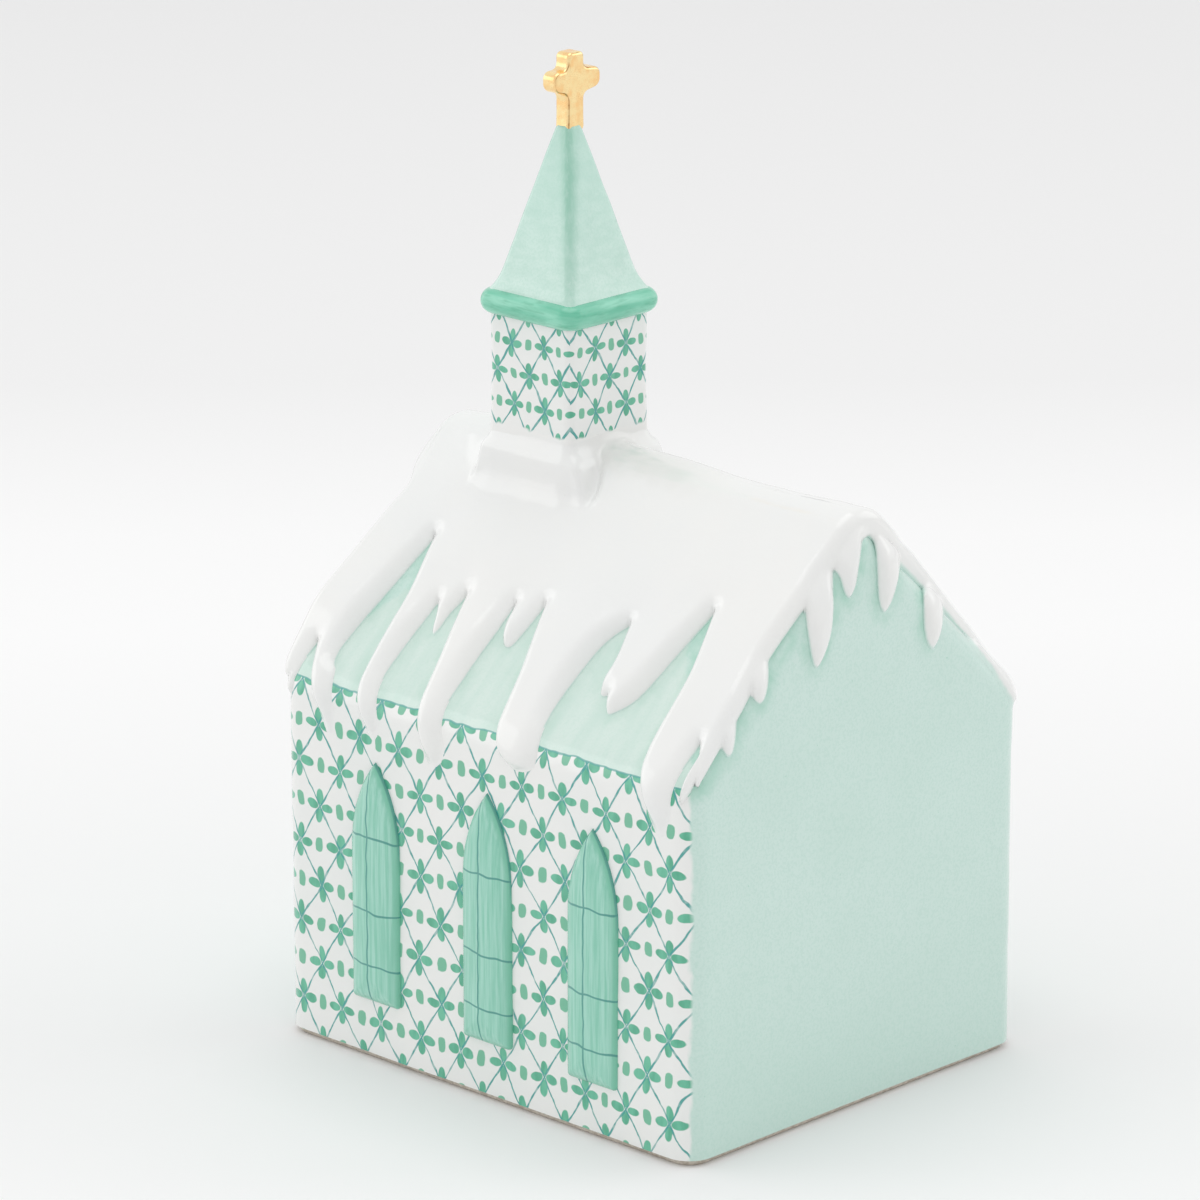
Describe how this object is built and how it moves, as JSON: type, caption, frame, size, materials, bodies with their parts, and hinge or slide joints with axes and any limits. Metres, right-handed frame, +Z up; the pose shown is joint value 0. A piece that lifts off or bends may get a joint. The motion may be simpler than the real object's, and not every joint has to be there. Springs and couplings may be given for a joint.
{
  "type": "church figurine",
  "caption": "Small glazed porcelain church with a snow-covered roof, pointed windows, a square tower, a spire and a gilded cross.",
  "frame": {"origin": "on the table, under the middle of the nave's foot", "axes": "+Z up, X along the ridge with the tower towards -X, Y across the nave"},
  "size_m": [0.0782, 0.068, 0.1328],
  "materials": {
    "bare_foot": "unglazed, matt, slightly stained",
    "nave_glaze": "glossy clear glaze over a mint wash on the gables and roof and a painted trellis on the long walls",
    "snow_glaze": "glossy white glaze",
    "painted_white_glaze": "glossy clear glaze over a painted trellis on white",
    "green_glaze": "glossy clear glaze over brushed mid green",
    "pale_green_glaze": "glossy clear glaze over a streaked pale green wash",
    "gold_lustre": "polished gold lustre over glazed porcelain",
    "window_glaze": "glossy clear glaze over brushed mid green with fine teal lines"
  },
  "bodies": {
    "root": {"foot_rim": "bare_foot", "nave_shell": "nave_glaze", "snow_blanket": "snow_glaze", "tower_saddle": "snow_glaze", "tower_shaft": "painted_white_glaze", "eave_moulding": "green_glaze", "spire": "pale_green_glaze", "cross": "gold_lustre", "window_1": "window_glaze", "window_2": "window_glaze", "window_3": "window_glaze", "window_4": "window_glaze", "window_5": "window_glaze", "window_6": "window_glaze", "door": "window_glaze"}
  },
  "joints": []
}
